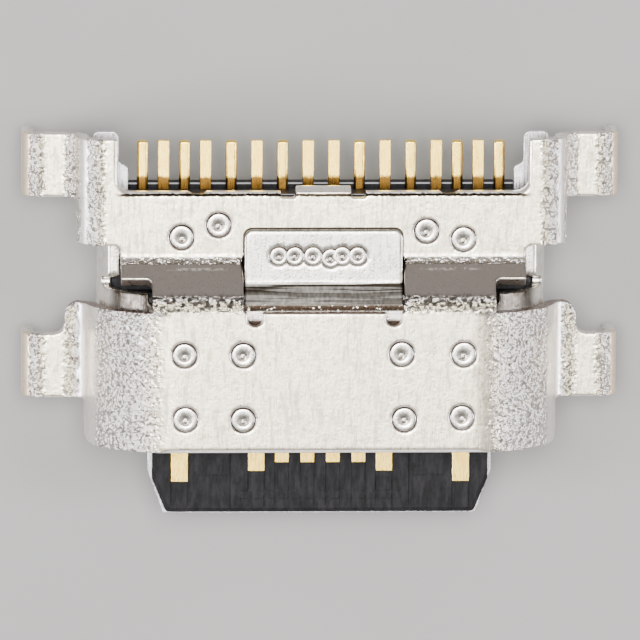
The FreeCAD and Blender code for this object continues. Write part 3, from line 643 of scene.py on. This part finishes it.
def makeCover():
    c = cover
    mid, plate, ear, leg, sheet = c["hoodMid"], c["plateMid"], c["earMid"], c["legMid"], c["sheet"]
    turn = hoodTurn(0, 80, 3)
    hood = foldedSheet(bothSides([*turn, (c["footX"], ear, 0.425), (leg, ear, 0.275), (leg, c["legTip"], 0)]),
                       c["lipBack"], c["hoodBack"], sheet)
    flange = [(5.0, 0.75), (5.0, -0.885, 0.20), (8, -0.885), (8, 0.75)]
    flangeCorner = [(4.70, -0.25), (5.0, -0.25, 0.299), (5.0, -0.55), (6, -0.55), (6, 1), (4.70, 1)]
    rim = foldedSheet(bothSides([*turn, *hoodTurn(80, 90, 1), (c["endX"] + mid, 0, 0)]),
                      c["mouth"], c["lipBack"], sheet)
    rimCorner = [(-4, -1), (-4, 0.60), (-2.99, 0.60), (-2.99, 0, 0.599), (-2.39, 0), (-2.39, -1)]
    lip = [(-6, -4), (6, -4), (6, -2.93), (-6, -2.93)]
    rim = cutAway(rim, prism([rimCorner], -8, 8, sideView), prism([lip], 1.70, 3),
                  pitTool(hoodWelds, c["weldRadius"], c["hoodTop"], c["weldDepth"]))
    lobes = [[(x - 0.16, -0.503, 0.158), (x + 0.16, -0.503, 0.158), (x + 0.16, 0.08), (x - 0.16, 0.08)]
             for x in (-1.345, 1.345)]
    hood = cutAway(hood, prism([flange, mirroredOutline(flange)], -3, 3),
                   prism([flangeCorner, mirroredOutline(flangeCorner)], -3, 3), prism(lobes, 0.5, 3),
                   pitTool(hoodWelds, c["weldRadius"], c["hoodTop"], c["weldDepth"]))
    slopePath = [(c["hoodBack"], mid, 0), (-0.02, mid, 0.225), (0.70, plate, 0.225), (c["bayEdge"], plate, 0)]
    slope = foldedSheet(slopePath, -3.93, 3.93, sheet, sideways=True)
    # the notches were cut square to the sheet before it was folded, so their tool leans with the slope
    notch = [(3.33, -3), (3.33, 0, 0.12), (6, 0), (6, -3)]
    lean = Matrix.Rotation(-math.radians(c["slopeAngle"]), 3, "X")
    notches = prism([notch, mirroredOutline(notch)], -3, 3, lean, (0, 0.38, 1.40))
    window = [(-1.565, -0.243, 0.05), (1.565, -0.243, 0.05), (1.565, 0.79, 0.08), (-1.565, 0.79, 0.08)]
    stubNotch = [(0.54, 1.91, 0.05), (0.83, 1.91, 0.05), (0.83, 3), (0.54, 3)]
    scallop = [(2.25, 2.04), (2.32, 1.985, 0.03), (2.56, 1.985, 0.03), (2.63, 2.04), (2.63, 3), (2.25, 3)]
    bay = [(-4.0, c["bayEdge"], 0.25), (4.0, c["bayEdge"], 0.25), (4.0, 4), (-4.0, 4)]
    bayLip = [(-4.04, 1.965, 0.30), (4.04, 1.965, 0.30), (4.04, 4), (-4.04, 4)]
    edgeCuts = [stubNotch, mirroredOutline(stubNotch), scallop, mirroredOutline(scallop)]
    slope = cutAway(slope, pitTool(plateWelds, c["weldRadius"], c["plateTop"], c["weldDepth"]), notches,
                    prism([window], 0.2, 3), prism(edgeCuts, 0.2, 3), prism([bayLip], 1.02, 3))
    stub = meshObject(prism([[(1.95, 0.80), (2.13, 0.80), (2.13, 0.93), (2.02, 1.05), (1.95, 1.05)]],
                            -0.54, 0.54, sideView), "stub")
    wall = foldedSheet(bothSides([(c["wallMid"], plate, 0.405), (c["wallMid"], 0, 0)]),
                       c["wallFront"], c["earFront"], sheet)
    shoulder = [(3.93, 0.70), (3.93, 0.97, 0.14), (7, 0.97), (7, 0.70)]
    wallCorner = [(0.80, -1), (0.80, 0.35), (0.97, 0.35), (0.97, 0, 0.349), (1.32, 0), (1.32, -1)]
    wall = cutAway(wall, prism([shoulder, mirroredOutline(shoulder)], -3, 3), prism([wallCorner], -8, 8, sideView),
                   pitTool(plateWelds, c["weldRadius"], c["plateTop"], c["weldDepth"]))
    ears = foldedSheet(bothSides([(c["wallMid"], plate, 0.405), (c["wallMid"], ear, 0.375),
                                  (leg, ear, 0.275), (leg, c["legTip"], 0)]), c["earFront"], c["rearEnd"], sheet)
    ears = cutAway(ears, prism([bay], -3, 3), prism(edgeCuts, 0.2, 3), prism([bayLip], 1.02, 3))
    return melted([hood, rim, slope, stub, wall, ears], c["voxel"], c["rounds"], c["share"])


coverSkin = finished("stampedCover", makeCover(), coverSteel, "cover_steel", "outer_cover")
print("cover made:", len(coverSkin.data.polygons), "faces")


# Drawn shell with its tab

shell = {
    "wall": 0.20,
    "middle": 1.38,
    "halfWidth": 4.27,
    "front": -2.95,
    "back": 1.90,
    "tabMid": 1.15,
    "tabSide": 1.535,
    "tabTop": 1.25,
    "weldRadius": 0.19,
    "weldDepth": 0.05,
    "voxel": 0.030,
    "rounds": 4,
    "share": 0.41,
}
tabWelds = [(-0.87, 0.80), (-0.56, 0.80), (-0.205, 0.80), (0.14, 0.757), (0.36, 0.80), (0.66, 0.80)]


def makeShell():
    s = shell
    wide, high = s["halfWidth"], s["middle"]
    bm = bmesh.new()
    ring = [bm.verts.new((x, z, 0)) for x, z in ((-wide, -high), (wide, -high), (wide, high), (-wide, high))]
    bm.faces.new(ring)
    roundCorners(bm, [(x, z, high - 0.0005) for x in (-wide, wide) for z in (-high, high)], 22)
    bmesh.ops.delete(bm, geom=bm.faces[:], context="FACES_ONLY")
    bmesh.ops.rotate(bm, verts=bm.verts[:], matrix=Matrix(((1, 0, 0), (0, 0, -1), (0, 1, 0))))
    bmesh.ops.translate(bm, verts=bm.verts[:], vec=(0, s["front"], 0))
    grown = bmesh.ops.extrude_edge_only(bm, edges=bm.edges[:])
    moved = [g for g in grown["geom"] if isinstance(g, bmesh.types.BMVert)]
    bmesh.ops.translate(bm, verts=moved, vec=(0, s["back"] - s["front"], 0))
    bmesh.ops.remove_doubles(bm, verts=bm.verts[:], dist=0.002)
    bmesh.ops.recalc_face_normals(bm, faces=bm.faces[:])
    tube = meshObject(bm, "tube")
    wall = tube.modifiers.new("wall", "SOLIDIFY")
    wall.thickness = s["wall"]
    wall.offset = 0
    wall.use_even_offset = True
    trough = [(0.10, 3), (0.10, 0.45, 0.11), (0.30, 0.45, 0.05), (0.30, 0.77, 0.11), (3, 0.77), (3, 3)]
    top = [(-3.4, -0.12), (3.4, -0.12), (3.4, 0.3), (-3.4, 0.3)]
    tube = cutAway(tube, prism([trough], -8, 8, sideView), prism([top], 0, 3))
    side, low = s["tabSide"], s["tabMid"]
    tab = foldedSheet([(-0.243, high, 0), (-0.15, high, 0.20), (0.24, low, 0.20), (1.31, low, 0)],
                      -side, side, s["wall"], sideways=True)
    corner = [(1.385, 1.31), (side, 1.31, 0.149), (side, 1.16), (2, 1.16), (2, 2), (1.385, 2)]
    tab = cutAway(tab, prism([corner, mirroredOutline(corner)], 0, 3),
                  pitTool(tabWelds, s["weldRadius"], s["tabTop"], s["weldDepth"]))
    return melted([tube, tab], s["voxel"], s["rounds"], s["share"])


shellSkin = finished("drawnShell", makeShell(), shellSteel, "shell_steel", "inner_shell")
print("shell made:", len(shellSkin.data.polygons), "faces")


# Spot welds

weldShape = {
    # radius, height and darkening along a spot's section (painted shade in the groove, scorching in the crater),
    # from its buried foot to the crater's middle
    "section": [(0, -0.090, 1), (0.236, -0.090, 1), (0.236, -0.030, 1), (0.232, -0.012, 1), (0.225, -0.004, 0.6),
                (0.215, 0.001, 0), (0.190, 0.003, 0), (0.160, 0.003, 0), (0.136, 0.002, 0), (0.118, -0.001, 0),
                (0.100, -0.006, 0), (0.082, -0.012, 0), (0.064, -0.017, 0.7), (0.048, -0.021, 1),
                (0.034, -0.022, 1), (0.024, -0.015, 0.4), (0.014, -0.009, 0), (0, -0.008, 0)],
    "steps": 48,
    "wanderX": 0.014,
    "wanderY": (-0.042, -0.018),
    "tabTop": 1.252,
    "tabSize": 0.77,
}


def addWeld(bm, burntAndShaded, x, y, top, size, chance):
    # one spot: a flat ring in a groove with painted shade, round a crater that is never quite in the middle
    first = len(bm.verts)
    line = []
    for radius, height, burnAndShade in weldShape["section"]:
        line.append(bm.verts.new((x + radius * size, y, top + height)))
        line[-1][burntAndShaded] = burnAndShade
    edges = [bm.edges.new(pair) for pair in zip(line, line[1:])]
    bmesh.ops.spin(bm, geom=line + edges, cent=(x, y, top), axis=(0, 0, 1), dvec=(0, 0, 0),
                   angle=2 * math.pi, steps=weldShape["steps"], use_merge=True)
    bm.verts.ensure_lookup_table()
    spot = bm.verts[first:]
    sideways = chance.uniform(-1, 1) * weldShape["wanderX"]
    shift = Vector((sideways, chance.uniform(*weldShape["wanderY"]), 0)) * size
    for vert in spot:
        away = Vector((vert.co.x - x, vert.co.y - y))
        reach = away.length / size
        if 0.03 < reach < 0.13:  # painted shade on the crater's rear side, scorched at its front
            rear = away.y / away.length
            dull = 0.62 * max(0.0, rear) * (1 - abs(reach - 0.08) / 0.06)
            vert[burntAndShaded] = dull + vert[burntAndShaded] * max(0.0, -rear)
        vert.co += shift * min(1.0, max(0.0, 1 - reach / 0.17) * 1.5)
    bmesh.ops.remove_doubles(bm, verts=spot, dist=0.0005)


def makeWelds(name, spots, top, size, slot):
    chance = random.Random(7)
    bm = bmesh.new()
    burntAndShaded = bm.verts.layers.float.new("burntAndShaded")
    for x, y in spots:
        addWeld(bm, burntAndShaded, x, y, top + chance.uniform(-0.002, 0.002), size * chance.uniform(0.98, 1.02), chance)
    bmesh.ops.recalc_face_normals(bm, faces=bm.faces[:])
    for face in bm.faces:
        face.smooth = True
    piece = meshObject(bm, "spots")
    return finished(name, baked(piece), weldMetal, slot)


makeWelds("hoodWelds", hoodWelds, cover["hoodTop"], 1.0, "cover_steel")
makeWelds("plateWelds", plateWelds, cover["plateTop"], 1.0, "cover_steel")
makeWelds("tabWelds", tabWelds, weldShape["tabTop"], weldShape["tabSize"], "shell_steel")
print("welds made")


# Pieces that keep the shape of their solids, with their edges broken

def easedCopy(name, node, material, slot, width, segments=2, cuts=None):
    bm = bmesh.new()
    bm.from_mesh(nodes[node].data)
    bmesh.ops.scale(bm, vec=(1000, 1000, 1000), verts=bm.verts[:])
    bmesh.ops.remove_doubles(bm, verts=bm.verts[:], dist=0.0005)
    bmesh.ops.dissolve_limit(bm, angle_limit=math.radians(1), verts=bm.verts[:], edges=bm.edges[:])
    for face in bm.faces:
        face.smooth = True
    piece = meshObject(bm, "copy")
    ease = piece.modifiers.new("ease", "BEVEL")
    ease.width = width
    ease.segments = segments
    ease.limit_method = "ANGLE"
    ease.angle_limit = math.radians(35)
    ease.use_clamp_overlap = False
    if cuts:
        piece = cutAway(piece, cuts)
    fair = piece.modifiers.new("fair", "WEIGHTED_NORMAL")
    fair.weight = 80
    return finished(name, baked(piece), material, slot, node)


contactEase = {"contact_a": 0.013, "contact_b": 0.055}  # by row
for start, width in contactEase.items():
    for node in sorted(n for n in nodes if n.startswith(start)):
        easedCopy(node + "_eased", node, giltContact, "gilt_contact", width)
print("contacts made")

# Lines left by the mould on the tongue, as shallow grooves
tongueMarks = {
    "top": 0.35,
    "width": 0.026,
    "depth": 0.014,
    "front": -4.28,
    # the sides of each contact's channel: middle, half width and where its contact ends
    "channels": [(0.25, 0.135, -3.43), (0.75, 0.135, -3.43), (1.25, 0.16, -3.60), (2.75, 0.165, -3.81)],
    # left, front, right, back
    "lines": [(-1.77, -4.28, -1.75, -3.05), (1.73, -4.28, 1.75, -3.05), (-1.57, -4.14, 1.55, -4.12),
              (-1.57, -3.98, 1.55, -3.96), (-2.40, -3.67, -1.80, -3.65), (1.78, -3.67, 2.40, -3.65)],
}


def markTool():
    m = tongueMarks
    grooves = list(m["lines"])
    for middle, half, end in m["channels"]:
        for x in (-middle - half, -middle + half, middle - half, middle + half):
            grooves.append((x - m["width"] / 2, m["front"], x + m["width"] / 2, end))
    bm = bmesh.new()
    for left, front, right, back in grooves:
        centre = Matrix.Translation(((left + right) / 2, (front + back) / 2, m["top"]))
        size = Matrix.Diagonal((right - left, back - front, m["depth"] * 2, 1))
        bmesh.ops.create_cube(bm, size=1, matrix=centre @ size)
    return bm


blockEase = {"tongue": 0.012, "upper": 0.02, "lower": 0.045, "plate": 0.02}
easedCopy("tongue", "tongue_moulding", blackMoulding, "black_moulding", blockEase["tongue"], cuts=markTool())
easedCopy("upperBlock", "upper_terminal_block", blackMoulding, "black_moulding", blockEase["upper"])
easedCopy("lowerBlock", "lower_terminal_block", blackMoulding, "black_moulding", blockEase["lower"], 3)
easedCopy("midPlate", "mid_plate", plateSteel, "plate_steel", blockEase["plate"])
finishes = {"cover": coverSteel, "shell": shellSteel, "plate": plateSteel, "moulding": blackMoulding,
            "block": blackMoulding}
for name, node in nodes.items():
    for slot in node.material_slots:
        slot.material = finishes.get(name.split("_")[-1], giltContact)
print("mouldings and plates made")


# Floor, light and camera

studio = {
    "floorZ": -0.00148,
    "floorColour": (0.37, 0.37, 0.365),
    "floorShade": (0.355, 0.355, 0.35),
    "floorRoughness": 0.75,
    "distance": 0.2,
    "aim": (0.0, -0.00065, 0.0),
    "tiltBack": 9.0,
    "tiltLeft": 3.0,
    "roll": 0.35,
    "lens": 576.0,
    # name, size, power, place and colour; each lamp looks at the middle of the part
    "lamps": [
        ("topBox", (0.16, 0.13), 1.5, (-0.02, 0.045, 0.30), (1.0, 0.98, 0.95)),
        ("leftBox", (0.08, 0.18), 1.0, (-0.30, -0.05, 0.14), (0.96, 0.94, 1.0)),
        ("rightBox", (0.08, 0.18), 0.85, (0.30, -0.02, 0.14), (0.97, 0.95, 1.0)),
        ("frontBox", (0.20, 0.06), 0.16, (0.0, -0.30, 0.12), (1.0, 1.0, 1.0)),
        ("rearCard", (0.20, 0.05), 0.03, (0.0, 0.34, 0.07), (1.0, 0.93, 0.86)),
    ],
    "worldColour": (0.32, 0.31, 0.30),
    "worldStrength": 1.1,
}


def makeFloor():
    f = Finish("studioFloor")
    tone = f.noise(120, 2.0)
    grey = f.blend(f.ramp(tone, 0.3, 0.7, 0, 1), studio["floorColour"], studio["floorShade"])
    f.link(grey, f.shader.inputs["Base Color"])
    f.shader.inputs["Roughness"].default_value = studio["floorRoughness"]
    bm = bmesh.new()
    bmesh.ops.create_grid(bm, x_segments=1, y_segments=1, size=0.6)
    bmesh.ops.translate(bm, verts=bm.verts[:], vec=(0, 0, studio["floorZ"]))
    floor = meshObject(bm, "studioFloor")
    floor.data.materials.append(f.material)


def softLight(name, size, power, place, colour):
    lamp = bpy.data.lights.new(name, "AREA")
    lamp.shape = "RECTANGLE"
    lamp.size, lamp.size_y = size
    lamp.energy = power
    lamp.color = colour
    holder = bpy.data.objects.new(name, lamp)
    bpy.context.scene.collection.objects.link(holder)
    holder.location = place
    holder.rotation_euler = (-Vector(place)).to_track_quat("-Z", "Y").to_euler()


def makeCamera():
    s = studio
    back, left, roll = (math.radians(s[k]) for k in ("tiltBack", "tiltLeft", "roll"))
    aim = Vector(s["aim"])
    away = Vector((-math.sin(left), math.sin(back), math.cos(back) * math.cos(left))).normalized()
    camera = bpy.data.objects.new("camera", bpy.data.cameras.new("camera"))
    bpy.context.scene.collection.objects.link(camera)
    up = Vector((0, 1, 0)) - away * away.y
    up.normalize()
    right = up.cross(away)
    turn = Matrix((right, up, away)).transposed()
    turn = turn @ Matrix.Rotation(roll, 3, "Z")
    camera.matrix_world = Matrix.Translation(aim + away * s["distance"]) @ turn.to_4x4()
    camera.data.lens = s["lens"]
    camera.data.sensor_width = 36
    camera.data.clip_start, camera.data.clip_end = 0.01, 5
    bpy.context.scene.camera = camera


makeFloor()
makeCamera()
for lamp in studio["lamps"]:
    softLight(*lamp)
world = bpy.data.worlds.new("studio")
world.use_nodes = True
sky = world.node_tree.nodes["Background"]
sky.inputs["Color"].default_value = (*studio["worldColour"], 1)
sky.inputs["Strength"].default_value = studio["worldStrength"]
bpy.context.scene.world = world
print("studio ready")
